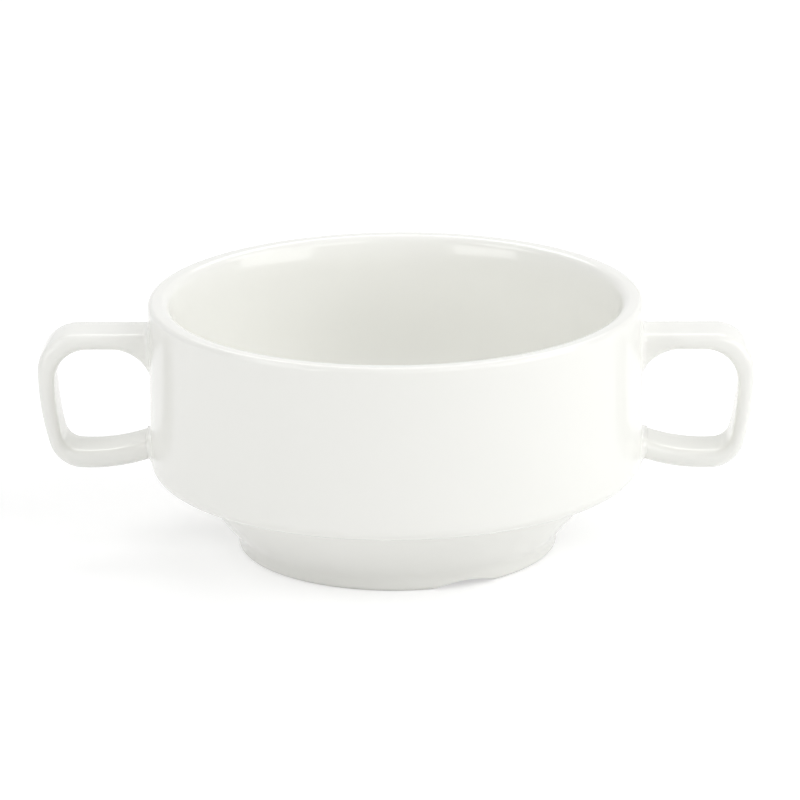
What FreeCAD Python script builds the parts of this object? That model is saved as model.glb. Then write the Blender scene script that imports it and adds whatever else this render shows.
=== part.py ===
import FreeCAD, Part
import math
import os
import Sketcher

# Bouillon cup: one piece of glazed porcelain, a straight-sided stacking bowl with two loop handles.
# Millimetres. The origin is the middle of the foot ring, on the table, and +Z is up.
# The handles lie along X, and the front of the cup faces -Y.

NODE = "bouillon_cup"

# Driving sizes, in millimetres and degrees
SIZES = {
    "rim_diameter": 110.0,
    "cup_height": 56.8,
    "wall_thickness": 5.6,
    "lip_flare": 1.4,
    "flare_round": 19.0,
    "lip_round": 1.2,
    "lip_inner_round": 2.2,
    "bowl_round": 28.0,
    "floor_thickness": 5.0,
    "edge_level": 17.6,
    "edge_round": 3.0,
    "collar_inset": 7.2,
    "collar_round": 2.0,
    "foot_diameter": 71.3,
    "foot_width": 4.5,
    "foot_band": 3.1,
    "foot_round": 1.1,
    "cove_round": 5.0,
    "recess_depth": 3.0,
    "recess_round": 1.5,
    "handle_projection": 24.7,
    "handle_drop": 7.0,
    "handle_lift": 1.0,
    "handle_width": 13.0,
    "handle_round": 1.25,
    "upper_arm_thickness": 3.7,
    "side_thickness": 3.8,
    "lower_arm_thickness": 4.3,
    "top_corner_radius": 8.8,
    "hole_corner_radius": 7.4,
    "side_bow_radius": 60.0,
    "low_corner_radius": 7.8,
    "lower_arm_bow_radius": 42.0,
    "low_point_inset": 11.2,
    "web_radius": 9.5,
    "web_lean": 25.0,
    "root_round": 1.2,
    "notch_bearing": 26.5,
    "notch_depth": 1.5,
    "notch_lead": 8.0,
    "notch_tail": 8.0,
}

NOTCHES = 2
HANDLES = 2

# How far an edge may lie from the place that it is looked for at, in millimetres
EDGE_MATCH = 1e-3

# Share of the wall's thickness that the handles reach into
ROOT_SHARE = 0.375

# Largest share of the wall, the arms, the ring or the recess that each rounding may take
LIP_SHARE = 0.35
LIP_INNER_SHARE = 0.6
LOOP_SHARE = 0.36
COVE_SHARE = 0.95
FOOT_SHARE = 0.3
RECESS_SHARE = 0.5


def make_sheet(doc):
    """Writes each driving size into a sheet cell of its own, with its name as the alias."""
    sheet = doc.addObject("Spreadsheet::Sheet", "sizes")
    for row, (name, value) in enumerate(SIZES.items(), start=1):
        sheet.set(f"A{row}", name)
        sheet.set(f"B{row}", str(value))
        sheet.setAlias(f"B{row}", name)
    doc.recompute()
    return sheet


def origin_feature(body, role):
    """The body's own origin plane or axis with the given role."""
    return next(item for item in body.Origin.OriginFeatures if item.Role == role)


def new_sketch(body, name, plane_role):
    """An empty sketch on one of the body's origin planes."""
    sketch = body.newObject("Sketcher::SketchObject", name)
    sketch.AttachmentSupport = [(origin_feature(body, plane_role), "")]
    sketch.MapMode = "FlatFace"
    return sketch


def line(start, end):
    """A straight segment between two (x, y) pairs of a sketch."""
    return Part.LineSegment(FreeCAD.Vector(*start, 0), FreeCAD.Vector(*end, 0))


def arc(centre, radius, first, last):
    """An anticlockwise arc from the angle first to the angle last, in radians."""
    circle = Part.Circle(FreeCAD.Vector(*centre, 0), FreeCAD.Vector(0, 0, 1), radius)
    return Part.ArcOfCircle(circle, first, last)


def hold(sketch, kind, *where, size=None):
    """Adds a constraint, and binds it to an expression on the sheet where one is given."""
    if size is None:
        return sketch.addConstraint(Sketcher.Constraint(kind, *where))
    start_value = abs(sketch_measure(sketch, kind, where))
    index = sketch.addConstraint(Sketcher.Constraint(kind, *where, start_value))
    sketch.setExpression(f"Constraints[{index}]", size)
    return index


def sketch_measure(sketch, kind, where):
    """What a dimension measures on the geometry as it is drawn, so that it starts satisfied."""
    if kind == "Radius":
        return sketch.Geometry[where[0]].Radius
    start = sketch.getPoint(where[0], where[1])
    end = sketch.getPoint(where[2], where[3])
    return end.x - start.x if kind == "DistanceX" else end.y - start.y


def place(sketch, geometry, point, across=None, up=None):
    """Fixes a point at positive distances from the sketch's origin."""
    if across is not None:
        hold(sketch, "DistanceX", -1, 1, geometry, point, size=across)
    if up is not None:
        hold(sketch, "DistanceY", -1, 1, geometry, point, size=up)


def add_bowl(body, size):
    """Turns the cup's section about Z: foot ring, cone, ledge, wall, lip and the round inside.

    Edges in order: 0 recess, 1 ring's inner side, 2 ring's underside, 3 ring's outer band, 4 cone,
    5 ledge, 6 wall, 7 lip, 8 flare, 9 inner wall, 10 inside curve, 11 floor, 12 axis.
    """
    rim = size["rim_diameter"] / 2
    foot = size["foot_diameter"] / 2
    inner_foot = foot - size["foot_width"]
    inside = rim - size["wall_thickness"]
    lip_inside = inside + size["lip_flare"]
    flare = size["flare_round"]
    lean = math.acos(1 - size["lip_flare"] / flare)
    recess = size["recess_depth"]
    floor = recess + size["floor_thickness"]
    ledge = size["edge_level"]
    lip = size["cup_height"]
    curve = size["bowl_round"]
    corners = [
        (0, recess), (inner_foot, recess), (inner_foot, 0), (foot, 0), (foot, size["foot_band"]),
        (rim - size["collar_inset"], ledge), (rim, ledge), (rim, lip), (lip_inside, lip),
    ]
    flare_end = (inside, lip - flare * math.sin(lean))
    floor_end = (inside - curve, floor)
    sketch = new_sketch(body, "BowlSection", "YZ_Plane")
    sketch.addGeometry([line(begin, end) for begin, end in zip(corners, corners[1:])])
    sketch.addGeometry([
        arc((inside + flare, flare_end[1]), flare, math.pi - lean, math.pi),
        line(flare_end, (inside, floor + curve)),
        arc((inside - curve, floor + curve), curve, -math.pi / 2, 0),
        line(floor_end, (0, floor)),
        line((0, floor), (0, recess)),
    ])
    for edge in range(8):
        hold(sketch, "Coincident", edge, 2, edge + 1, 1)
    hold(sketch, "Tangent", 8, 2, 9, 1)
    hold(sketch, "Tangent", 9, 2, 10, 2)
    hold(sketch, "Tangent", 10, 1, 11, 1)
    hold(sketch, "Coincident", 11, 2, 12, 1)
    hold(sketch, "Coincident", 12, 2, 0, 1)
    for level in (0, 2, 5, 7, 11):
        hold(sketch, "Horizontal", level)
    for upright in (1, 3, 6, 9):
        hold(sketch, "Vertical", upright)
    hold(sketch, "PointOnObject", 0, 1, -2)
    hold(sketch, "PointOnObject", 12, 1, -2)
    hold(sketch, "PointOnObject", 2, 1, -1)
    place(sketch, 0, 1, up="sizes.recess_depth")
    place(sketch, 1, 1, across="sizes.foot_diameter / 2 - sizes.foot_width")
    place(sketch, 3, 1, across="sizes.foot_diameter / 2")
    place(sketch, 4, 1, up="sizes.foot_band")
    place(sketch, 5, 1, across="sizes.rim_diameter / 2 - sizes.collar_inset", up="sizes.edge_level")
    place(sketch, 7, 1, across="sizes.rim_diameter / 2", up="sizes.cup_height")
    place(sketch, 8, 1, across="sizes.rim_diameter / 2 - sizes.wall_thickness + sizes.lip_flare")
    place(sketch, 9, 1, across="sizes.rim_diameter / 2 - sizes.wall_thickness")
    place(sketch, 12, 1, up="sizes.recess_depth + sizes.floor_thickness")
    hold(sketch, "Radius", 8, size="sizes.flare_round")
    hold(sketch, "Radius", 10, size="sizes.bowl_round")
    turned = body.newObject("PartDesign::Revolution", "TurnedBowl")
    turned.Profile = sketch
    turned.ReferenceAxis = (sketch, ["V_Axis"])
    turned.Angle = 360
    return turned


def ring_edges(shape, rings):
    """Names of the circular edges about Z with the given (radius, height) pairs."""
    names = []
    for number, edge in enumerate(shape.Edges, start=1):
        if not isinstance(edge.Curve, Part.Circle):
            continue
        for radius, height in rings:
            same_size = abs(edge.Curve.Radius - radius) < EDGE_MATCH
            same_height = abs(edge.Curve.Center.z - height) < EDGE_MATCH
            if same_size and same_height:
                names.append(f"Edge{number}")
    return names


def round_edges(body, name, base, edges, radius):
    """Rounds the named edges of a feature, with the radius bound to the sheet."""
    fillet = body.newObject("PartDesign::Fillet", name)
    fillet.Base = (base, edges)
    fillet.setExpression("Radius", radius)
    body.Document.recompute()
    return fillet


def round_bowl(body, turned, size):
    """Gives the turned bowl the soft edges of slip-cast ware, one radius at a time."""
    rim = size["rim_diameter"] / 2
    foot = size["foot_diameter"] / 2
    lip_inside = rim - size["wall_thickness"] + size["lip_flare"]
    top = size["cup_height"]
    ledge = size["edge_level"]
    inner_foot = foot - size["foot_width"]
    lip = "(sizes.wall_thickness - sizes.lip_flare)"
    lip_round = f"min(sizes.lip_round; {lip} * {LIP_SHARE})"
    lip_inner_round = f"min(sizes.lip_inner_round; {lip} * {LIP_INNER_SHARE})"
    foot_round = f"min(sizes.foot_round; sizes.foot_width * {FOOT_SHARE})"
    cone_run = "sizes.rim_diameter / 2 - sizes.collar_inset - sizes.foot_diameter / 2"
    cone_lean = f"atan(({cone_run}) / (sizes.edge_level - sizes.foot_band))"
    free_band = f"(sizes.foot_band - {foot_round})"
    cove_round = f"min(sizes.cove_round; {free_band} / tan({cone_lean} / 2) * {COVE_SHARE})"
    recess_round = f"min(sizes.recess_round; sizes.recess_depth * {RECESS_SHARE})"
    rounds = [
        ("FootCove", [(foot, size["foot_band"])], cove_round),
        ("CollarRound", [(rim - size["collar_inset"], ledge)], "sizes.collar_round"),
        ("EdgeRound", [(rim, ledge)], "sizes.edge_round"),
        ("LipRound", [(rim, top)], lip_round),
        ("LipInnerRound", [(lip_inside, top)], lip_inner_round),
        ("FootRound", [(foot, 0), (inner_foot, 0)], foot_round),
        ("RecessRound", [(inner_foot, size["recess_depth"])], recess_round),
    ]
    base = turned
    for name, rings, radius in rounds:
        base = round_edges(body, name, base, ring_edges(base.Shape, rings), radius)
    return base


def inner_centre(first, first_radius, second, second_radius, radius):
    """Centre of an arc that touches two larger arcs from the inside, on their lower right."""
    reach_a = first_radius - radius
    reach_b = second_radius - radius
    gap = math.dist(first, second)
    along = (reach_a ** 2 - reach_b ** 2 + gap ** 2) / (2 * gap)
    across = math.sqrt(reach_a ** 2 - along ** 2)
    ux, uy = (second[0] - first[0]) / gap, (second[1] - first[1]) / gap
    foot_x, foot_y = first[0] + along * ux, first[1] + along * uy
    candidates = [
        (foot_x + across * uy, foot_y - across * ux),
        (foot_x - across * uy, foot_y + across * ux),
    ]
    return max(candidates, key=lambda point: point[0] - point[1])


def bearing(centre, point):
    """Angle of a point seen from a centre."""
    return math.atan2(point[1] - centre[1], point[0] - centre[0])


def handle_side(furthest, corner, level, bow, low_corner, arm_bow, arm_centre, root):
    """The four arcs of one face of the loop, from the upper corner round to the lower arm's root.

    The upper corner lies below level, furthest is the face's reach from the axis, and arm_centre is the
    middle of the lower arm's bow.
    """
    corner_centre = (furthest - corner, level - corner)
    bow_centre = (furthest - bow, level - corner)
    low_centre = inner_centre(bow_centre, bow, arm_centre, arm_bow, low_corner)
    bow_end = bearing(bow_centre, low_centre)
    arm_start = bearing(arm_centre, low_centre)
    root_angle = -math.acos((root - arm_centre[0]) / arm_bow)
    return [
        arc(corner_centre, corner, 0, math.pi / 2),
        arc(bow_centre, bow, bow_end, 0),
        arc(low_centre, low_corner, arm_start, bow_end),
        arc(arm_centre, arm_bow, root_angle, arm_start),
    ]


def add_handle(body, size):
    """Pads the right handle: a level upper arm, a bowed side and a lower arm that lifts to the wall."""
    rim = size["rim_diameter"] / 2
    root = rim - size["wall_thickness"] * ROOT_SHARE
    reach = rim + size["handle_projection"]
    top = size["cup_height"] - size["handle_drop"]
    under = top - size["upper_arm_thickness"]
    side = size["side_thickness"]
    low_x = reach - size["low_point_inset"]
    arm_centre = (low_x, size["edge_level"] + size["handle_lift"] + size["lower_arm_bow_radius"])
    outer_corner = size["top_corner_radius"]
    inner_corner = size["hole_corner_radius"]
    bow = size["side_bow_radius"]
    low_corner = size["low_corner_radius"]
    arm_bow = size["lower_arm_bow_radius"]
    inner_arm_bow = arm_bow - size["lower_arm_thickness"]
    web = size["web_radius"]
    lean = math.radians(size["web_lean"])
    wall_x = math.sqrt(rim ** 2 - (size["handle_width"] / 2) ** 2)
    web_centre = (wall_x + web * math.cos(lean), under - web)
    web_end = (wall_x, under - web + web * math.sin(lean))
    web_root = (root, web_end[1] - (wall_x - root) / math.tan(lean))
    outer = handle_side(reach, outer_corner, top, bow, low_corner, arm_bow, arm_centre, root)
    inner = handle_side(
        reach - side, inner_corner, under, bow - side, low_corner - side, inner_arm_bow, arm_centre, root,
    )
    sketch = new_sketch(body, "HandleOutline", "XZ_Plane")
    ends = [outer[3].StartPoint, inner[3].StartPoint]
    sketch.addGeometry([
        line((root, top), (reach - outer_corner, top)),
        *outer,
        line((root, ends[0].y), (root, ends[1].y)),
        *inner[::-1],
        line((reach - side - inner_corner, under), (web_centre[0], under)),
        arc(web_centre, web, math.pi / 2, math.pi - lean),
        line(web_end, web_root),
        line(web_root, (root, top)),
    ])
    hold_handle(sketch)
    pad = body.newObject("PartDesign::Pad", "RightHandle")
    pad.Profile = sketch
    pad.SideType = "Symmetric"
    pad.setExpression("Length", "sizes.handle_width")
    return pad


def hold_handle(sketch):
    """Constrains the handle's outline to the sheet.

    Edges in order: 0 upper face, 1 to 4 outer corner, bow, low corner and arm, 5 lower root,
    6 to 9 inner arm, low corner, bow and corner, 10 under face, 11 web, 12 web's run into the wall,
    13 upper root.
    """
    rim = "sizes.rim_diameter / 2"
    reach = f"{rim} + sizes.handle_projection"
    top = "sizes.cup_height - sizes.handle_drop"
    root = f"{rim} - sizes.wall_thickness * {ROOT_SHARE}"
    wall_at_side = f"sqrt(({rim})^2 - (sizes.handle_width / 2)^2)"
    for level in (0, 10):
        hold(sketch, "Horizontal", level)
    for upright in (5, 13):
        hold(sketch, "Vertical", upright)
    hold(sketch, "Tangent", 0, 2, 1, 2)
    hold(sketch, "Tangent", 1, 1, 2, 2)
    hold(sketch, "Tangent", 2, 1, 3, 2)
    hold(sketch, "Tangent", 3, 1, 4, 2)
    hold(sketch, "Coincident", 4, 1, 5, 1)
    hold(sketch, "Coincident", 5, 2, 6, 1)
    hold(sketch, "Tangent", 6, 2, 7, 1)
    hold(sketch, "Tangent", 7, 2, 8, 1)
    hold(sketch, "Tangent", 8, 2, 9, 1)
    hold(sketch, "Tangent", 9, 2, 10, 1)
    hold(sketch, "Tangent", 10, 2, 11, 1)
    hold(sketch, "Tangent", 11, 2, 12, 1)
    hold(sketch, "Coincident", 12, 2, 13, 1)
    hold(sketch, "Coincident", 13, 2, 0, 1)
    hold(sketch, "Coincident", 4, 3, 6, 3)
    hold(sketch, "Horizontal", 1, 3, 2, 3)
    hold(sketch, "Horizontal", 8, 3, 9, 3)
    place(sketch, 0, 1, across=root, up=top)
    place(sketch, 5, 1, across=root)
    radii = {
        1: "sizes.top_corner_radius",
        2: "sizes.side_bow_radius",
        3: "sizes.low_corner_radius",
        4: "sizes.lower_arm_bow_radius",
        6: "sizes.lower_arm_bow_radius - sizes.lower_arm_thickness",
        7: "sizes.low_corner_radius - sizes.side_thickness",
        8: "sizes.side_bow_radius - sizes.side_thickness",
        9: "sizes.hole_corner_radius",
        11: "sizes.web_radius",
    }
    for edge, radius in radii.items():
        hold(sketch, "Radius", edge, size=radius)
    place(sketch, 1, 3, across=f"{reach} - sizes.top_corner_radius")
    place(sketch, 9, 3, across=f"{reach} - sizes.side_thickness - sizes.hole_corner_radius")
    place(sketch, 4, 3, across=f"{reach} - sizes.low_point_inset")
    place(sketch, 4, 3, up="sizes.edge_level + sizes.handle_lift + sizes.lower_arm_bow_radius")
    place(sketch, 10, 1, up=f"{top} - sizes.upper_arm_thickness")
    place(sketch, 12, 1, across=wall_at_side)
    place(sketch, 11, 3, across=f"{wall_at_side} + sizes.web_radius * cos(sizes.web_lean)")


def pair_handles(body, size):
    """Rounds the padded handle and repeats it on the other side of the cup, in a body of its own."""
    pad = add_handle(body, size)
    body.Document.recompute()
    arms = "min(sizes.upper_arm_thickness; sizes.side_thickness; sizes.lower_arm_thickness)"
    loop_round = f"min(sizes.handle_round; {arms} * {LOOP_SHARE})"
    round_edges(body, "LoopRound", pad, loop_edges(pad.Shape, size), loop_round)
    pair = body.newObject("PartDesign::PolarPattern", "HandlePair")
    pair.TransformMode = "Whole shape"
    pair.Axis = (origin_feature(body, "Z_Axis"), [""])
    pair.Angle = 360
    pair.Occurrences = HANDLES
    body.Tip = pair
    body.Document.recompute()
    return pair


def join_handles(body, handles):
    """Joins the pair of handles to the bowl."""
    join = body.newObject("PartDesign::Boolean", "HandlesJoined")
    join.setObjects([handles])
    join.Type = "Fuse"
    body.Tip = join
    body.Document.recompute()
    return join


def samples(edge, count=5):
    """Points spread along an edge, with its ends left out."""
    first, last = edge.ParameterRange
    steps = [first + (last - first) * (index + 1) / (count + 1) for index in range(count)]
    return [edge.valueAt(step) for step in steps]


def loop_edges(shape, size):
    """Names of the long edges round a loop, apart from its ends inside the wall."""
    root = size["rim_diameter"] / 2 - size["wall_thickness"] * ROOT_SHARE
    half = size["handle_width"] / 2
    names = []
    for number, edge in enumerate(shape.Edges, start=1):
        on_side = all(abs(abs(point.y) - half) < EDGE_MATCH for point in samples(edge))
        outside = any(point.x > root + EDGE_MATCH for point in samples(edge))
        if on_side and outside:
            names.append(f"Edge{number}")
    return names


def root_edges(shape, size):
    """Names of the edges where the loops meet the wall, which run on the wall within the loops' width."""
    rim = size["rim_diameter"] / 2
    half = size["handle_width"] / 2
    names = []
    for number, edge in enumerate(shape.Edges, start=1):
        points = samples(edge)
        on_wall = all(abs(math.hypot(point.x, point.y) - rim) < EDGE_MATCH for point in points)
        at_loop = all(abs(point.y) < half + EDGE_MATCH for point in points)
        if on_wall and at_loop:
            names.append(f"Edge{number}")
    return names


def add_notch(body, size):
    """Cuts the shallow drain notch through the foot ring, from the axis outwards.

    Edges in order: 0 long side, 1 short side, 2 and 4 sides below the table, 3 bottom.
    """
    lead = size["notch_lead"]
    tail = size["notch_tail"]
    depth = size["notch_depth"]
    left = -(lead + tail) / 2
    right = (lead + tail) / 2
    peak = left + lead
    lead_radius = (lead ** 2 + depth ** 2) / (2 * depth)
    tail_radius = (tail ** 2 + depth ** 2) / (2 * depth)
    lead_centre = (peak, depth - lead_radius)
    tail_centre = (peak, depth - tail_radius)
    sketch = new_sketch(body, "NotchOutline", "XZ_Plane")
    turn = FreeCAD.Rotation(FreeCAD.Vector(0, 1, 0), size["notch_bearing"])
    sketch.AttachmentOffset = FreeCAD.Placement(FreeCAD.Vector(), turn)
    sketch.setExpression("AttachmentOffset.Rotation.Angle", "sizes.notch_bearing")
    sketch.addGeometry([
        arc(lead_centre, lead_radius, math.pi / 2, bearing(lead_centre, (left, 0))),
        arc(tail_centre, tail_radius, bearing(tail_centre, (right, 0)), math.pi / 2),
        line((right, 0), (right, -depth)),
        line((right, -depth), (left, -depth)),
        line((left, -depth), (left, 0)),
    ])
    hold(sketch, "Tangent", 0, 1, 1, 2)
    hold(sketch, "Coincident", 1, 1, 2, 1)
    hold(sketch, "Coincident", 2, 2, 3, 1)
    hold(sketch, "Coincident", 3, 2, 4, 1)
    hold(sketch, "Coincident", 4, 2, 0, 2)
    hold(sketch, "Vertical", 0, 1, 0, 3)
    hold(sketch, "Vertical", 2)
    hold(sketch, "Vertical", 4)
    hold(sketch, "Horizontal", 3)
    hold(sketch, "PointOnObject", 0, 2, -1)
    hold(sketch, "PointOnObject", 1, 1, -1)
    hold(sketch, "DistanceX", 0, 2, 0, 1, size="sizes.notch_lead")
    hold(sketch, "DistanceX", 0, 1, 1, 1, size="sizes.notch_tail")
    hold(sketch, "DistanceX", 0, 2, -1, 1, size="(sizes.notch_lead + sizes.notch_tail) / 2")
    hold(sketch, "DistanceY", 2, 2, 2, 1, size="sizes.notch_depth")
    place(sketch, 0, 1, up="sizes.notch_depth")
    notch = body.newObject("PartDesign::Pocket", "DrainNotch")
    notch.Profile = sketch
    notch.Type = "ThroughAll"
    notch.Reversed = True
    body.Document.recompute()
    notches = body.newObject("PartDesign::PolarPattern", "DrainNotches")
    notches.Originals = [notch]
    notches.Axis = (origin_feature(body, "Z_Axis"), [""])
    notches.Angle = 360
    notches.Occurrences = NOTCHES
    body.Tip = notches
    body.Document.recompute()
    return notches


def check_cut(before, after):
    """Stops if a cut took nothing off the body."""
    if not after.Shape.Volume < before.Shape.Volume:
        raise RuntimeError(f"{after.Name} cut nothing")


def check_document(doc, body):
    """Stops if a feature failed, a shape is missing or invalid, or the cup is not one solid."""
    for item in doc.Objects:
        if {"Invalid", "Error"} & set(item.State):
            raise RuntimeError(f"{item.Name} is in state {item.State}")
        if item.isDerivedFrom("Part::Feature") and (item.Shape.isNull() or not item.Shape.isValid()):
            raise RuntimeError(f"{item.Name} has no valid shape")
        if item.isDerivedFrom("Sketcher::SketchObject") and not item.FullyConstrained:
            raise RuntimeError(f"{item.Name} is not fully constrained")
    if len(body.Shape.Solids) != 1:
        raise RuntimeError(f"{body.Label} has {len(body.Shape.Solids)} solids")


def build():
    """Builds the document, checks it and writes the cup."""
    doc = FreeCAD.newDocument("bouillon_cup")
    make_sheet(doc)
    body = doc.addObject("PartDesign::Body", "Cup")
    body.Label = NODE
    body.Placement = FreeCAD.Placement()
    turned = add_bowl(body, SIZES)
    doc.recompute()
    bowl = round_bowl(body, turned, SIZES)
    notches = add_notch(body, SIZES)
    check_cut(bowl, notches)
    handles = doc.addObject("PartDesign::Body", "Handles")
    handles.AllowCompound = True
    pair_handles(handles, SIZES)
    join = join_handles(body, handles)
    round_edges(body, "RootRound", join, root_edges(join.Shape, SIZES), "sizes.root_round")
    doc.recompute()
    check_document(doc, body)
    os.makedirs("parts", exist_ok=True)
    body.Shape.exportStep(f"parts/{body.Label}.step")


if __name__ == "__main__":
    build()
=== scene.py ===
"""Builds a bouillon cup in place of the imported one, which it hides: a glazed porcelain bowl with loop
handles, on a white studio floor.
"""
import logging
import math
from dataclasses import dataclass, field
from enum import Enum

import bmesh
import bpy
from mathutils import Matrix, Vector


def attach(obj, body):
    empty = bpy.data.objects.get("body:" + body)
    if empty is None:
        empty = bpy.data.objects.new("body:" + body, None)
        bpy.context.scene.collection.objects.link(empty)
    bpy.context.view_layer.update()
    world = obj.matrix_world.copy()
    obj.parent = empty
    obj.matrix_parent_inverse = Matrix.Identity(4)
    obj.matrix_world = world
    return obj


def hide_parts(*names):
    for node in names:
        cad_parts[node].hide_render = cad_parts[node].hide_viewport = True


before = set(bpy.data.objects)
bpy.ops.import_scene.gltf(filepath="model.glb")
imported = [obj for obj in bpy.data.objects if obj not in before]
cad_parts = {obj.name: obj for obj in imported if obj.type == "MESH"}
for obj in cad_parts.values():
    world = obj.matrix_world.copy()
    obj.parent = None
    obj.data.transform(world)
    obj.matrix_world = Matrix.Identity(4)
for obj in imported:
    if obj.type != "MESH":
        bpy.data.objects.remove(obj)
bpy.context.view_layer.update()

log = logging.getLogger("bouillon_cup")

MM = 0.001
NODE = "bouillon_cup"
FEWEST_BEND_STEPS = 4
FLARE_FINENESS = 3
Pair = tuple[float, float]
Colour = tuple[float, float, float]
SectionPoint = tuple[float, float, float, float]


class End(Enum):
    """The side of the cup that a handle stands on, as the sign of its X."""

    RIGHT = 1
    LEFT = -1


@dataclass(frozen=True)
class Corner:
    """A corner of the bowl's section, in millimetres, and the radius that softens it."""

    radius: float
    height: float
    rounding: float = 0.0


@dataclass(frozen=True)
class CupSizes:
    """The cup's sizes in millimetres and degrees, the same as the solid's."""

    rim_diameter: float = 110.0
    cup_height: float = 56.8
    wall_thickness: float = 5.6
    lip_flare: float = 1.4
    flare_round: float = 19.0
    lip_round: float = 1.2
    lip_inner_round: float = 2.2
    bowl_round: float = 28.0
    floor_thickness: float = 5.0
    edge_level: float = 17.6
    edge_round: float = 3.0
    collar_inset: float = 7.2
    collar_round: float = 2.0
    foot_diameter: float = 71.3
    foot_width: float = 4.5
    foot_band: float = 3.1
    foot_round: float = 1.1
    cove_round: float = 5.0
    recess_depth: float = 3.0
    recess_round: float = 1.5
    handle_projection: float = 24.7
    handle_drop: float = 7.0
    handle_lift: float = 1.0
    handle_width: float = 13.0
    handle_round: float = 1.85
    handle_crown: float = 0.15
    upper_arm_thickness: float = 3.7
    side_thickness: float = 3.8
    lower_arm_thickness: float = 4.3
    top_corner_radius: float = 8.8
    hole_corner_radius: float = 7.4
    side_bow_radius: float = 60.0
    low_corner_radius: float = 7.8
    lower_arm_bow_radius: float = 42.0
    low_point_inset: float = 11.2
    web_radius: float = 9.5
    web_lean: float = 25.0
    root_round: float = 1.2
    notch_bearing: float = 26.5
    notch_depth: float = 1.5
    notch_lead: float = 8.0
    notch_tail: float = 8.0

    @property
    def rim(self) -> float:
        """Outer radius of the wall."""
        return self.rim_diameter / 2

    @property
    def foot(self) -> float:
        """Outer radius of the foot ring."""
        return self.foot_diameter / 2

    def outside(self) -> list[Corner]:
        """The section's corners round the outside.

        Returns:
            The corners from the axis under the floor to the lip's top.
        """
        inner_foot = self.foot - self.foot_width
        return [
            Corner(0.0, self.recess_depth),
            Corner(inner_foot, self.recess_depth, self.recess_round),
            Corner(inner_foot, 0.0, self.foot_round),
            Corner(self.foot, 0.0, self.foot_round),
            Corner(self.foot, self.foot_band, self.cove_round),
            Corner(self.rim - self.collar_inset, self.edge_level, self.collar_round),
            Corner(self.rim, self.edge_level, self.edge_round),
            Corner(self.rim, self.cup_height, self.lip_round),
            Corner(self.lip_centre()[0], self.cup_height),
        ]

    def inside(self) -> list[Corner]:
        """The section's corners inside.

        Returns:
            The corners from the foot of the flare down the inner wall to the axis on the floor.
        """
        inner = self.rim - self.wall_thickness
        floor = self.recess_depth + self.floor_thickness
        return [
            Corner(inner, self.flare_centre()[1]),
            Corner(inner, floor, self.bowl_round),
            Corner(0.0, floor),
        ]

    def flare_centre(self) -> Pair:
        """Middle of the arc by which the inner wall leans out to the lip.

        Returns:
            Its radius from the axis and its height.
        """
        lean = math.acos(1 - self.lip_flare / self.flare_round)
        inner = self.rim - self.wall_thickness
        return inner + self.flare_round, self.cup_height - self.flare_round * math.sin(lean)

    def lip_centre(self) -> Pair:
        """Middle of the rounding between the lip's top and the flare.

        Returns:
            Its radius from the axis and its height.
        """
        centre = self.flare_centre()
        level = self.cup_height - self.lip_inner_round
        reach = self.flare_round - self.lip_inner_round
        return centre[0] - math.sqrt(reach ** 2 - (level - centre[1]) ** 2), level

    def wall_radius(self, height: float) -> float:
        """Outer radius of the wall, with the rounding of its bottom edge.

        Args:
            height: Height above the table, in millimetres.

        Returns:
            The radius in millimetres.
        """
        below = self.edge_level + self.edge_round - height
        if below <= 0.0:
            return self.rim
        below = min(below, self.edge_round)
        return self.rim - self.edge_round + math.sqrt(self.edge_round ** 2 - below ** 2)

    def notch_height(self, x: float, y: float) -> float:
        """Height of the drain notches' roof above the table.

        Args:
            x: Place under the foot ring along the handles, in millimetres.
            y: Place under the foot ring from front to back, in millimetres.

        Returns:
            The roof's height in millimetres, or 0 beside the notches.
        """
        bearing = math.radians(self.notch_bearing)
        outward = x * math.sin(bearing) - y * math.cos(bearing)
        across = x * math.cos(bearing) + y * math.sin(bearing)
        across = across if outward > 0.0 else -across
        peak = (self.notch_lead - self.notch_tail) / 2
        reach = self.notch_tail if across > peak else self.notch_lead
        if abs(across - peak) >= reach:
            return 0.0
        radius = (reach ** 2 + self.notch_depth ** 2) / (2 * self.notch_depth)
        return math.sqrt(radius ** 2 - (across - peak) ** 2) + self.notch_depth - radius


def arc_points(centre: Pair, radius: float, start: float, end: float, steps: int) -> list[Pair]:
    """Points along an arc.

    Args:
        centre: The arc's middle.
        radius: Its radius.
        start: Angle of its first point, in radians.
        end: Angle of its last point, in radians.
        steps: How many points follow the first.

    Returns:
        The points, both ends included.
    """
    angles = [start + (end - start) * step / steps for step in range(steps + 1)]
    return [(centre[0] + radius * math.cos(a), centre[1] + radius * math.sin(a)) for a in angles]


def spread(start: Pair, end: Pair, spacing: float) -> list[Pair]:
    """Points along a straight run, without its first and its last.

    Args:
        start: Where the run starts.
        end: Where it ends.
        spacing: Longest step between two points.

    Returns:
        The points in between.
    """
    count = max(1, math.ceil(math.dist(start, end) / spacing))
    return [
        (start[0] + (end[0] - start[0]) * step / count, start[1] + (end[1] - start[1]) * step / count)
        for step in range(1, count)
    ]


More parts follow.
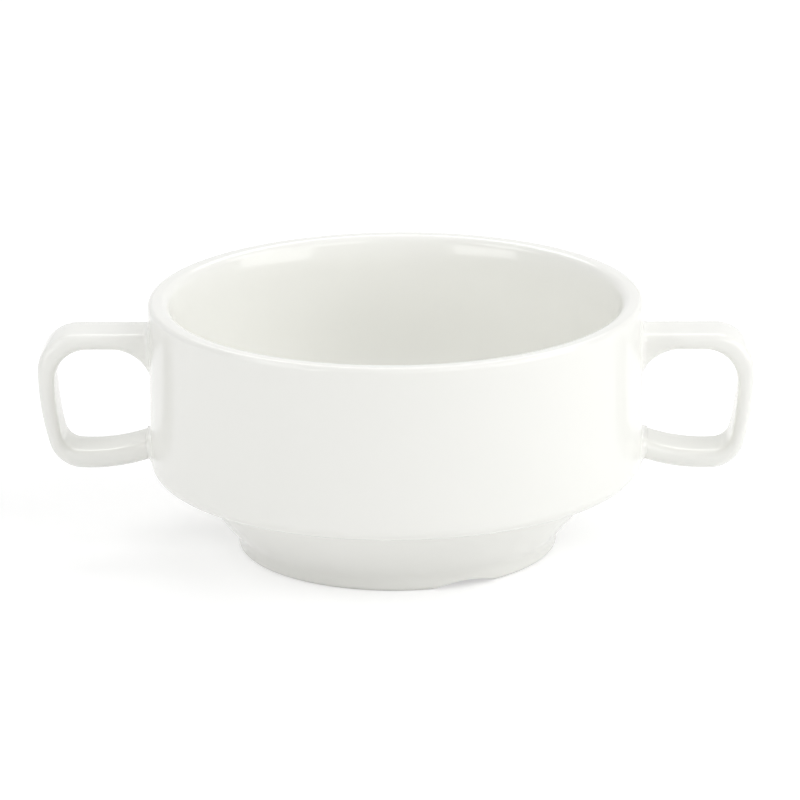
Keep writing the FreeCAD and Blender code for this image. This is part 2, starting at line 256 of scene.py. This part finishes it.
def softened(corners: list[Corner], spacing: float, turn_step: float) -> list[Pair]:
    """Rounds the corners of a section and divides its straight runs.

    Args:
        corners: The section's corners in order.
        spacing: Longest straight step, in millimetres.
        turn_step: Largest turn between two points of a rounding, in degrees.

    Returns:
        The section as (radius, height) points.
    """
    points: list[Pair] = []
    for index, corner in enumerate(corners):
        place = Vector((corner.radius, corner.height))
        if corner.rounding == 0.0:
            bend = [tuple(place)]
        else:
            before = corners[index - 1]
            after = corners[index + 1]
            back = (Vector((before.radius, before.height)) - place).normalized()
            ahead = (Vector((after.radius, after.height)) - place).normalized()
            opening = back.angle(ahead)
            reach = corner.rounding / math.tan(opening / 2)
            middle = place + (back + ahead).normalized() * (corner.rounding / math.sin(opening / 2))
            first = place + back * reach - middle
            turn = math.pi - opening
            sign = 1.0 if back.x * ahead.y - back.y * ahead.x < 0.0 else -1.0
            start = math.atan2(first.y, first.x)
            steps = max(FEWEST_BEND_STEPS, math.ceil(math.degrees(turn) / turn_step))
            bend = arc_points(tuple(middle), corner.rounding, start, start + sign * turn, steps)
        if points:
            points += spread(points[-1], bend[0], spacing)
        points += bend
    return points


def cup_section(sizes: CupSizes, spacing: float, turn_step: float) -> list[Pair]:
    """The bowl's whole section, from the axis under the floor round the outside to the axis inside.

    Args:
        sizes: The cup's sizes.
        spacing: Longest straight step, in millimetres.
        turn_step: Largest turn between two points of a rounding, in degrees.

    Returns:
        The section as (radius, height) points.
    """
    lip, flare = sizes.lip_centre(), sizes.flare_centre()
    meeting = math.atan2(lip[1] - flare[1], lip[0] - flare[0])
    lip_steps = math.ceil(math.degrees(meeting - math.pi / 2) / turn_step)
    flare_steps = math.ceil(math.degrees(math.pi - meeting) / turn_step) * FLARE_FINENESS
    return [
        *softened(sizes.outside(), spacing, turn_step),
        *arc_points(lip, sizes.lip_inner_round, math.pi / 2, meeting, lip_steps)[1:],
        *arc_points(flare, sizes.flare_round, meeting, math.pi, flare_steps)[1:],
        *softened(sizes.inside(), spacing, turn_step)[1:],
    ]


def new_finish(name: str) -> tuple[bpy.types.Material, bpy.types.Node]:
    """Makes an empty node material.

    Args:
        name: The material's name.

    Returns:
        The material and its shader node.
    """
    material = bpy.data.materials.new(name)
    material.use_nodes = True
    return material, material.node_tree.nodes["Principled BSDF"]


def add_noise(tree: bpy.types.NodeTree, scale: float, detail: float) -> bpy.types.NodeSocket:
    """Adds noise that is fixed to the piece.

    Args:
        tree: The node tree that takes it.
        scale: How fine the noise is, per metre.
        detail: How many finer layers it has.

    Returns:
        The noise, from 0 to 1.
    """
    place = tree.nodes.new("ShaderNodeTexCoord")
    noise = tree.nodes.new("ShaderNodeTexNoise")
    noise.inputs["Scale"].default_value = scale
    noise.inputs["Detail"].default_value = detail
    tree.links.new(place.outputs["Object"], noise.inputs["Vector"])
    return noise.outputs["Fac"]


def add_tint(shader: bpy.types.Node, drift: bpy.types.NodeSocket, first: Colour, second: Colour) -> None:
    """Lets the shader's colour drift between two colours.

    Args:
        shader: The shader that takes the colour.
        drift: The noise that chooses between them.
        first: Colour where the noise is 0.
        second: Colour where it is 1.
    """
    tree = shader.id_data
    tint = tree.nodes.new("ShaderNodeMix")
    tint.data_type = "RGBA"
    tint.inputs["A"].default_value = (*first, 1.0)
    tint.inputs["B"].default_value = (*second, 1.0)
    tree.links.new(drift, tint.inputs["Factor"])
    tree.links.new(tint.outputs["Result"], shader.inputs["Base Color"])


def add_bump(shader: bpy.types.Node, relief: bpy.types.NodeSocket, strength: float, depth: float) -> None:
    """Gives the shader a fine relief.

    Args:
        shader: The shader that takes it.
        relief: The noise that gives its height.
        strength: How much of it shows.
        depth: The relief's depth, in metres.
    """
    tree = shader.id_data
    bump = tree.nodes.new("ShaderNodeBump")
    bump.inputs["Strength"].default_value = strength
    bump.inputs["Distance"].default_value = depth
    tree.links.new(relief, bump.inputs["Height"])
    tree.links.new(bump.outputs["Normal"], shader.inputs["Normal"])


@dataclass(frozen=True)
class Glaze:
    """Clear gloss glaze over white porcelain, a little thicker and cooler where it pools."""

    name: str = "glazed_porcelain"
    colour: Colour = (0.925, 0.922, 0.888)
    pooled: Colour = (0.905, 0.908, 0.868)
    refraction: float = 1.52
    glossiest: float = 0.08
    dullest: float = 0.13
    drift_scale: float = 28.0
    drift_detail: float = 3.0
    ripple_scale: float = 260.0
    ripple_detail: float = 2.0
    ripple_strength: float = 0.35
    ripple_depth: float = 0.00002

    def material(self) -> bpy.types.Material:
        """Builds the glaze's node material.

        Returns:
            The material, with its colour, roughness and ripple from nodes.
        """
        material, shader = new_finish(self.name)
        tree = material.node_tree
        shader.inputs["IOR"].default_value = self.refraction
        drift = add_noise(tree, self.drift_scale, self.drift_detail)
        add_tint(shader, drift, self.colour, self.pooled)
        softness = tree.nodes.new("ShaderNodeMapRange")
        softness.inputs["To Min"].default_value = self.glossiest
        softness.inputs["To Max"].default_value = self.dullest
        tree.links.new(drift, softness.inputs["Value"])
        tree.links.new(softness.outputs["Result"], shader.inputs["Roughness"])
        ripple = add_noise(tree, self.ripple_scale, self.ripple_detail)
        add_bump(shader, ripple, self.ripple_strength, self.ripple_depth)
        return material


@dataclass(frozen=True)
class BareBody:
    """Unglazed fired body on the foot ring's underside, dry and slightly grey from use."""

    name: str = "bare_foot"
    colour: Colour = (0.78, 0.76, 0.72)
    worn: Colour = (0.66, 0.64, 0.60)
    roughness: float = 0.8
    grain_scale: float = 900.0
    grain_detail: float = 4.0
    grain_strength: float = 0.5
    grain_depth: float = 0.00005

    def material(self) -> bpy.types.Material:
        """Builds the bare ring's node material.

        Returns:
            The material, matt and fine-grained.
        """
        material, shader = new_finish(self.name)
        shader.inputs["Roughness"].default_value = self.roughness
        grain = add_noise(material.node_tree, self.grain_scale, self.grain_detail)
        add_tint(shader, grain, self.colour, self.worn)
        add_bump(shader, grain, self.grain_strength, self.grain_depth)
        return material


@dataclass
class Bowl:
    """The turned bowl with its foot ring, drain notches, ledge, wall and lip."""

    sizes: CupSizes
    steps_round: int = 384
    spacing: float = 2.2
    turn_step: float = 7.0

    def fill(self, mesh: bmesh.types.BMesh) -> None:
        """Adds the bowl's faces to a mesh.

        Args:
            mesh: The mesh that takes them, in metres.
        """
        section = cup_section(self.sizes, self.spacing, self.turn_step)
        bottom = mesh.verts.new((0.0, 0.0, section[0][1] * MM))
        inside = mesh.verts.new((0.0, 0.0, section[-1][1] * MM))
        rings = [self.ring(mesh, radius, height) for radius, height in section[1:-1]]
        count = self.steps_round
        for step in range(count):
            following = (step + 1) % count
            mesh.faces.new((bottom, rings[0][following], rings[0][step]))
            mesh.faces.new((inside, rings[-1][step], rings[-1][following]))
            for lower, upper in zip(rings, rings[1:]):
                mesh.faces.new((lower[step], lower[following], upper[following], upper[step]))

    def ring(self, mesh: bmesh.types.BMesh, radius: float, height: float) -> list[bmesh.types.BMVert]:
        """Adds one ring of the bowl's surface, lifted where a drain notch crosses it.

        Args:
            mesh: The mesh that takes it.
            radius: The ring's radius, in millimetres.
            height: Its height above the table, in millimetres.

        Returns:
            The ring's points in order.
        """
        ring = []
        for step in range(self.steps_round):
            angle = 2 * math.pi * step / self.steps_round
            x, y = radius * math.cos(angle), radius * math.sin(angle)
            z = max(height, self.sizes.notch_height(x, y))
            ring.append(mesh.verts.new((x * MM, y * MM, z * MM)))
        return ring


@dataclass
class Handle:
    """A loop handle: a level upper arm, a bowed side and a lower arm that lifts to the wall."""

    sizes: CupSizes
    end: End
    corner_steps: int = 7
    flat_steps: int = 6
    level_steps: int = 6
    bend_steps: int = 16
    bow_steps: int = 14
    root_steps: int = 8
    web_steps: int = 12
    roundest: float = 0.96
    web_swell: float = 0.35
    lap_in_wall: float = 0.03
    depth_in_wall: float = 1.6
    rails: tuple[list[Pair], list[Pair]] = field(init=False)

    def __post_init__(self) -> None:
        """Works out the outer and inner rails of the loop."""
        self.rails = self.find_rails()

    def low_centre(
        self, bow: Pair, bow_radius: float, arm: Pair, arm_radius: float, radius: float
    ) -> Pair:
        """Middle of the low corner's arc, which touches the side's bow and the lower arm's from inside.

        Args:
            bow: Middle of the side's bow.
            bow_radius: Radius of the side's bow.
            arm: Middle of the lower arm's bow.
            arm_radius: Radius of the lower arm's bow.
            radius: Radius of the low corner.

        Returns:
            The place as (x, z).
        """
        reach_a, reach_b = bow_radius - radius, arm_radius - radius
        gap = math.dist(bow, arm)
        along = (reach_a ** 2 - reach_b ** 2 + gap ** 2) / (2 * gap)
        across = math.sqrt(reach_a ** 2 - along ** 2)
        ux, uy = (arm[0] - bow[0]) / gap, (arm[1] - bow[1]) / gap
        base = (bow[0] + along * ux, bow[1] + along * uy)
        choices = [
            (base[0] + across * uy, base[1] - across * ux),
            (base[0] - across * uy, base[1] + across * ux),
        ]
        return max(choices, key=lambda point: point[0] - point[1])

    def face_rail(
        self, furthest: float, corner: float, level: float, bow: float, low: float, arm: float,
        arm_centre: Pair, start: float,
    ) -> list[Pair]:
        """One face of the loop, from the upper arm round to the wall below.

        Args:
            furthest: The face's reach from the axis.
            corner: Radius of the upper corner.
            level: Height of the upper arm's face.
            bow: Radius of the side's bow.
            low: Radius of the low corner.
            arm: Radius of the lower arm's bow.
            arm_centre: Middle of the lower arm's bow.
            start: Where the upper arm's level stretch starts.

        Returns:
            Points along the level stretch, upper corner, side, low corner and lower arm.
        """
        corner_centre = (furthest - corner, level - corner)
        bow_centre = (furthest - bow, level - corner)
        low_centre = self.low_centre(bow_centre, bow, arm_centre, arm, low)
        bow_end = math.atan2(low_centre[1] - bow_centre[1], low_centre[0] - bow_centre[0])
        arm_start = math.atan2(low_centre[1] - arm_centre[1], low_centre[0] - arm_centre[0])
        arm_end = -math.acos((self.sizes.rim - arm_centre[0]) / arm)
        level_end = (furthest - corner, level)
        step = (level_end[0] - start) / self.level_steps
        return [
            (start, level),
            *spread((start, level), level_end, step),
            level_end,
            *arc_points(corner_centre, corner, math.pi / 2, 0.0, self.bend_steps)[1:],
            *arc_points(bow_centre, bow, 0.0, bow_end, self.bow_steps)[1:],
            *arc_points(low_centre, low, bow_end, arm_start, self.bow_steps)[1:],
            *arc_points(arm_centre, arm, arm_start, arm_end, self.bow_steps)[1:],
        ]

    def find_rails(self) -> tuple[list[Pair], list[Pair]]:
        """The loop's outer and inner rails, point for point, between the web's top and the lower root.

        Returns:
            The two rails as (x, z) points on the right side, in millimetres.
        """
        s = self.sizes
        reach = s.rim + s.handle_projection
        top = s.cup_height - s.handle_drop
        arm_centre = (reach - s.low_point_inset, s.edge_level + s.handle_lift + s.lower_arm_bow_radius)
        start = self.web_centre()[0]
        outer = self.face_rail(
            reach, s.top_corner_radius, top, s.side_bow_radius, s.low_corner_radius,
            s.lower_arm_bow_radius, arm_centre, start,
        )
        inner = self.face_rail(
            reach - s.side_thickness, s.hole_corner_radius, top - s.upper_arm_thickness,
            s.side_bow_radius - s.side_thickness, s.low_corner_radius - s.side_thickness,
            s.lower_arm_bow_radius - s.lower_arm_thickness, arm_centre, start,
        )
        return outer, inner

    def web_centre(self) -> Pair:
        """Middle of the web's arc under the upper arm.

        Returns:
            The place as (x, z).
        """
        s = self.sizes
        under = s.cup_height - s.handle_drop - s.upper_arm_thickness
        reach = s.web_radius * math.cos(math.radians(s.web_lean))
        return self.wall_at_edge() + reach, under - s.web_radius

    def wall_at_edge(self) -> float:
        """Where the wall is along X at the handle's front and back edges."""
        return math.sqrt(self.sizes.rim ** 2 - (self.sizes.handle_width / 2) ** 2)

    def loop_outline(self, height: float) -> list[SectionPoint]:
        """The rounded section of the loop.

        Args:
            height: Thickness of the arm, across the section.

        Returns:
            Points as (y, t, y normal, t normal), where t is measured from the section's middle.
        """
        half_w, half_h = self.sizes.handle_width / 2, height / 2
        soft = min(self.sizes.handle_round, half_h * self.roundest)
        points: list[SectionPoint] = []
        corners = [(1, 1, 0.0), (-1, 1, 90.0), (-1, -1, 180.0), (1, -1, 270.0)]
        for sign_y, sign_t, first in corners:
            centre = (sign_y * (half_w - soft), sign_t * (half_h - soft))
            for step in range(self.corner_steps + 1):
                angle = math.radians(first + 90.0 * step / self.corner_steps)
                ny, nt = math.cos(angle), math.sin(angle)
                y, thick = centre[0] + soft * ny, centre[1] + soft * nt
                thick -= math.copysign(self.sizes.handle_crown * (y / half_w) ** 2, thick) * abs(nt)
                points.append((y, thick, ny, nt))
                if step == self.corner_steps and sign_y * sign_t > 0:
                    points += self.face_points(half_w - soft, sign_t * half_h, sign_y)
        return points

    def face_points(self, reach: float, level: float, from_side: int) -> list[SectionPoint]:
        """Points across a broad face of the section, which is slightly crowned.

        Args:
            reach: Half the face's width between its roundings.
            level: The face's height over the section's middle.
            from_side: Side that the points start from, as the sign of y.

        Returns:
            Points as (y, t, y normal, t normal).
        """
        half_w = self.sizes.handle_width / 2
        points = []
        for step in range(1, self.flat_steps):
            y = from_side * reach * (1 - 2 * step / self.flat_steps)
            drop = self.sizes.handle_crown * (y / half_w) ** 2
            points.append((y, level - math.copysign(drop, level), 0.0, math.copysign(1.0, level)))
        return points

    def planar_ring(self, outer: Pair, inner: Pair) -> list[Vector]:
        """One section of the loop in the plane through a pair of rail points.

        Args:
            outer: Point on the outer rail, as (x, z).
            inner: Point on the inner rail, as (x, z).

        Returns:
            The section's points on the right side, in millimetres.
        """
        up = Vector((outer[0] - inner[0], 0.0, outer[1] - inner[1]))
        height = up.length
        up.normalize()
        middle = Vector(((outer[0] + inner[0]) / 2, 0.0, (outer[1] + inner[1]) / 2))
        return [middle + up * t + Vector((0.0, y, 0.0)) for y, t, _, _ in self.loop_outline(height)]

    def fill(self, mesh: bmesh.types.BMesh) -> None:
        """Adds the handle's faces to a mesh.

        Args:
            mesh: The mesh that takes them, in metres.
        """
        rings = [self.planar_ring(outer, inner) for outer, inner in zip(*self.rails)]
        rings = self.upper_root() + rings + self.lower_root()
        side = self.end.value
        verts = [
            [mesh.verts.new((side * p.x * MM, side * p.y * MM, p.z * MM)) for p in ring]
            for ring in rings
        ]
        for near, far in zip(verts, verts[1:]):
            count = len(near)
            for step in range(count):
                following = (step + 1) % count
                mesh.faces.new((near[step], far[step], far[following], near[following]))
        mesh.faces.new(verts[0])
        mesh.faces.new(list(reversed(verts[-1])))

    def shell_ring(self, away: float, flare: float, low: float, high: float, web: bool) -> list[Vector]:
        """One section on a shell that follows the wall.

        Args:
            away: Distance of the shell from the wall.
            flare: How far the section swells past the arm, for the rounding at the root.
            low: Height of the arm's lower face here.
            high: Height of its upper face here.
            web: Whether the lower face is the web, which needs no flare of its own.

        Returns:
            The section's points on the right side.
        """
        points = []
        middle = (low + high) / 2
        for y, t, ny, nt in self.loop_outline(high - low):
            swell = flare * (self.web_swell if web and nt < 0.0 else 1.0)
            y_out = y + ny * flare
            z = middle + t + nt * swell
            radius = self.sizes.wall_radius(z) + away
            points.append(Vector((math.sqrt(radius ** 2 - y_out ** 2), y_out, z)))
        return points

    def root_sections(self) -> list[Pair]:
        """The sections in the root's rounding, from the arm inwards.

        Returns:
            Each section's distance from the wall and its swell, in millimetres.
        """
        radius = self.sizes.root_round
        turns = [math.radians(90.0 * step / self.root_steps) for step in range(self.root_steps)]
        steps = [(radius * (1 - math.sin(turn)), radius * (1 - math.cos(turn))) for turn in turns]
        return [*steps, (-self.lap_in_wall, radius), (-self.depth_in_wall, radius)]

    def web_height(self, away: float) -> float:
        """Height of the web's face.

        Args:
            away: Distance from the wall, in millimetres.

        Returns:
            The height in millimetres.
        """
        centre = self.web_centre()
        across = centre[0] - (self.wall_at_edge() + max(away, 0.0))
        return centre[1] + math.sqrt(max(self.sizes.web_radius ** 2 - across ** 2, 0.0))

    def upper_root(self) -> list[list[Vector]]:
        """Sections of the upper arm from inside the wall out to where the web ends.

        Returns:
            The sections in order.
        """
        s = self.sizes
        top = s.cup_height - s.handle_drop
        wall = self.wall_at_edge()
        rings = [
            self.shell_ring(away, flare, self.web_height(away), top, True)
            for away, flare in reversed(self.root_sections())
        ]
        centre = self.web_centre()
        first = math.acos((centre[0] - wall - s.root_round) / s.web_radius)
        for step in range(1, self.web_steps):
            share = step / self.web_steps
            angle = first + (math.pi / 2 - first) * share
            x = centre[0] - s.web_radius * math.cos(angle)
            z = centre[1] + s.web_radius * math.sin(angle)
            plane = self.planar_ring((x, top), (x, z))
            shell = self.shell_ring(x - wall, 0.0, z, top, True)
            rings.append([a.lerp(b, share) for a, b in zip(shell, plane)])
        return rings

    def lower_root(self) -> list[list[Vector]]:
        """Sections of the lower arm from the wall's surface into the wall.

        Returns:
            The sections in order.
        """
        outer, inner = self.rails[0][-1], self.rails[1][-1]
        return [
            self.shell_ring(away, flare, outer[1], inner[1], False)
            for away, flare in self.root_sections()
        ]


@dataclass
class Cup:
    """The whole cup as one visible piece."""

    sizes: CupSizes = field(default_factory=CupSizes)
    glaze: Glaze = field(default_factory=Glaze)
    bare: BareBody = field(default_factory=BareBody)
    bare_slope: float = -0.8

    def build(self) -> bpy.types.Object:
        """Returns:
            The cup's object.
        """
        mesh = bmesh.new()
        Bowl(self.sizes).fill(mesh)
        for end in End:
            Handle(self.sizes, end).fill(mesh)
        bmesh.ops.recalc_face_normals(mesh, faces=mesh.faces)
        data = bpy.data.meshes.new("porcelain_cup")
        mesh.to_mesh(data)
        mesh.free()
        data.materials.append(self.glaze.material())
        data.materials.append(self.bare.material())
        for polygon in data.polygons:
            polygon.use_smooth = True
            polygon.material_index = 1 if self.is_bare(polygon) else 0
        cup = bpy.data.objects.new("porcelain_cup", data)
        bpy.context.scene.collection.objects.link(cup)
        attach(cup, "root")
        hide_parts(NODE)
        log.info("porcelain_cup: %d faces", len(data.polygons))
        return cup

    def is_bare(self, polygon: bpy.types.MeshPolygon) -> bool:
        """Whether a face lies on the foot ring's underside, which stands on the kiln shelf unglazed."""
        return polygon.normal.z < self.bare_slope and polygon.center.z < self.sizes.recess_depth * MM / 2


@dataclass(frozen=True)
class SoftBox:
    """A rectangular soft lamp that faces the cup.

    Its azimuth runs from +X towards the back and its elevation from the floor, both in degrees. Lengths are
    in metres and the power in watts.
    """

    name: str
    azimuth: float
    elevation: float
    distance: float
    width: float
    height: float
    power: float

    def build(self, target: Vector) -> None:
        """Hangs the lamp up.

        Args:
            target: The place that it faces.
        """
        turn, rise = math.radians(self.azimuth), math.radians(self.elevation)
        away = Vector((math.cos(rise) * math.cos(turn), math.cos(rise) * math.sin(turn), math.sin(rise)))
        data = bpy.data.lights.new(self.name, "AREA")
        data.shape = "RECTANGLE"
        data.size = self.width
        data.size_y = self.height
        data.energy = self.power
        lamp = bpy.data.objects.new(self.name, data)
        lamp.location = target + away * self.distance
        lamp.rotation_mode = "QUATERNION"
        lamp.rotation_quaternion = (-away).to_track_quat("-Z", "Y")
        lamp.visible_camera = False
        bpy.context.scene.collection.objects.link(lamp)
        log.info("%s: %.1f W", self.name, self.power)


@dataclass(frozen=True)
class WhiteFloor:
    """Matt white floor that stays white to the camera and in reflections, under the cup's soft shadow."""

    name: str = "white_floor"
    width: float = 6.0
    colour: float = 0.97
    seen_colour: float = 0.66
    seen_glow: float = 0.48

    def build(self) -> None:
        """Lays the floor."""
        half = self.width / 2
        corners = [(-half, -half, 0.0), (half, -half, 0.0), (half, half, 0.0), (-half, half, 0.0)]
        data = bpy.data.meshes.new(self.name)
        data.from_pydata(corners, [], [(0, 1, 2, 3)])
        data.materials.append(self.material())
        floor = bpy.data.objects.new(self.name, data)
        bpy.context.scene.collection.objects.link(floor)

    def material(self) -> bpy.types.Material:
        """Builds the floor's node material.

        Returns:
            The material: plain matt white for the light, and lifted to white where it is seen.
        """
        material, shader = new_finish(self.name)
        tree = material.node_tree
        shader.inputs["Roughness"].default_value = 1.0
        shader.inputs["Specular IOR Level"].default_value = 0.0
        shader.inputs["Emission Color"].default_value = (1.0, 1.0, 1.0, 1.0)
        colour = tree.nodes.new("ShaderNodeMix")
        colour.data_type = "RGBA"
        colour.inputs["A"].default_value = (*[self.colour] * 3, 1.0)
        colour.inputs["B"].default_value = (*[self.seen_colour] * 3, 1.0)
        glow = tree.nodes.new("ShaderNodeMapRange")
        glow.inputs["To Max"].default_value = self.seen_glow
        seen = seen_rays(tree)
        tree.links.new(seen, colour.inputs["Factor"])
        tree.links.new(seen, glow.inputs["Value"])
        tree.links.new(colour.outputs["Result"], shader.inputs["Base Color"])
        tree.links.new(glow.outputs["Result"], shader.inputs["Emission Strength"])
        return material


def seen_rays(tree: bpy.types.NodeTree) -> bpy.types.NodeSocket:
    """Adds nodes that tell rays of sight from rays of soft light.

    Args:
        tree: The node tree that takes them.

    Returns:
        A socket that is 1 for camera, mirror and transmission rays and otherwise 0.
    """
    path = tree.nodes.new("ShaderNodeLightPath")
    mirrored = tree.nodes.new("ShaderNodeMath")
    mirrored.operation = "MAXIMUM"
    seen = tree.nodes.new("ShaderNodeMath")
    seen.operation = "MAXIMUM"
    tree.links.new(path.outputs["Is Glossy Ray"], mirrored.inputs[0])
    tree.links.new(path.outputs["Is Transmission Ray"], mirrored.inputs[1])
    tree.links.new(path.outputs["Is Camera Ray"], seen.inputs[0])
    tree.links.new(mirrored.outputs[0], seen.inputs[1])
    return seen.outputs[0]


@dataclass
class Studio:
    """White floor, soft lamps, surrounding light, and the camera at the photograph's angle."""

    floor: WhiteFloor = field(default_factory=WhiteFloor)
    boxes: tuple[SoftBox, ...] = (
        SoftBox("right_low", -22.0, 17.0, 1.3, 1.0, 0.6, 4.1),
        SoftBox("right_high", 0.0, 42.0, 1.3, 0.8, 0.5, 3.1),
        SoftBox("front_right", -50.0, 42.0, 1.4, 0.8, 0.5, 2.9),
        SoftBox("left_low", -137.0, 14.0, 1.3, 0.8, 0.36, 2.4),
        SoftBox("left_high", -160.0, 45.0, 1.3, 0.6, 0.5, 2.7),
        SoftBox("back_high", 90.0, 45.0, 1.4, 1.0, 0.5, 4.2),
        SoftBox("top", 0.0, 88.0, 1.4, 1.0, 1.0, 1.6),
    )
    room_light: float = 0.35
    distance: float = 1.2
    elevation: float = 17.37
    turn: float = 1.6
    roll: float = -0.52
    focal_pixels: float = 5370.0
    centre_x: float = 396.5
    centre_y: float = 410.7
    frame_pixels: float = 800.0
    sight: float = 20.0
    aim: tuple[float, float, float] = (0.0, 0.0, 0.0304)

    def build(self) -> None:
        """Builds the floor, the light and the camera."""
        self.floor.build()
        for box in self.boxes:
            box.build(Vector(self.aim))
        self.add_world()
        self.add_camera()
        bpy.context.scene.view_settings.view_transform = "Standard"

    def add_world(self) -> None:
        """Adds the surrounding light, weak as light and white where it is seen."""
        world = bpy.data.worlds.new("studio")
        world.use_nodes = True
        bpy.context.scene.world = world
        tree = world.node_tree
        background = tree.nodes["Background"]
        background.inputs["Color"].default_value = (1.0, 1.0, 1.0, 1.0)
        level = tree.nodes.new("ShaderNodeMapRange")
        level.inputs["To Min"].default_value = self.room_light
        tree.links.new(seen_rays(tree), level.inputs["Value"])
        tree.links.new(level.outputs["Result"], background.inputs["Strength"])

    def add_camera(self) -> None:
        """Adds the camera at the photograph's angle."""
        data = bpy.data.cameras.new("camera")
        data.lens = self.focal_pixels / self.frame_pixels * data.sensor_width
        data.shift_x = (self.frame_pixels / 2 - self.centre_x) / self.frame_pixels
        data.shift_y = (self.centre_y - self.frame_pixels / 2) / self.frame_pixels
        data.clip_end = self.sight
        rise, turn = math.radians(self.elevation), math.radians(self.turn)
        back = Vector((math.sin(turn) * math.cos(rise), -math.cos(turn) * math.cos(rise), math.sin(rise)))
        look = (-back).to_track_quat("-Z", "Y").to_matrix().to_4x4()
        spin = Matrix.Rotation(math.radians(self.roll), 4, "Z")
        camera = bpy.data.objects.new("camera", data)
        camera.matrix_world = Matrix.Translation(Vector(self.aim) + back * self.distance) @ look @ spin
        bpy.context.scene.collection.objects.link(camera)
        bpy.context.scene.camera = camera


def main() -> None:
    """Builds the cup and the studio."""
    logging.basicConfig(level=logging.INFO, format="%(name)s: %(message)s")
    Cup().build()
    Studio().build()


if __name__ == "__main__":
    main()
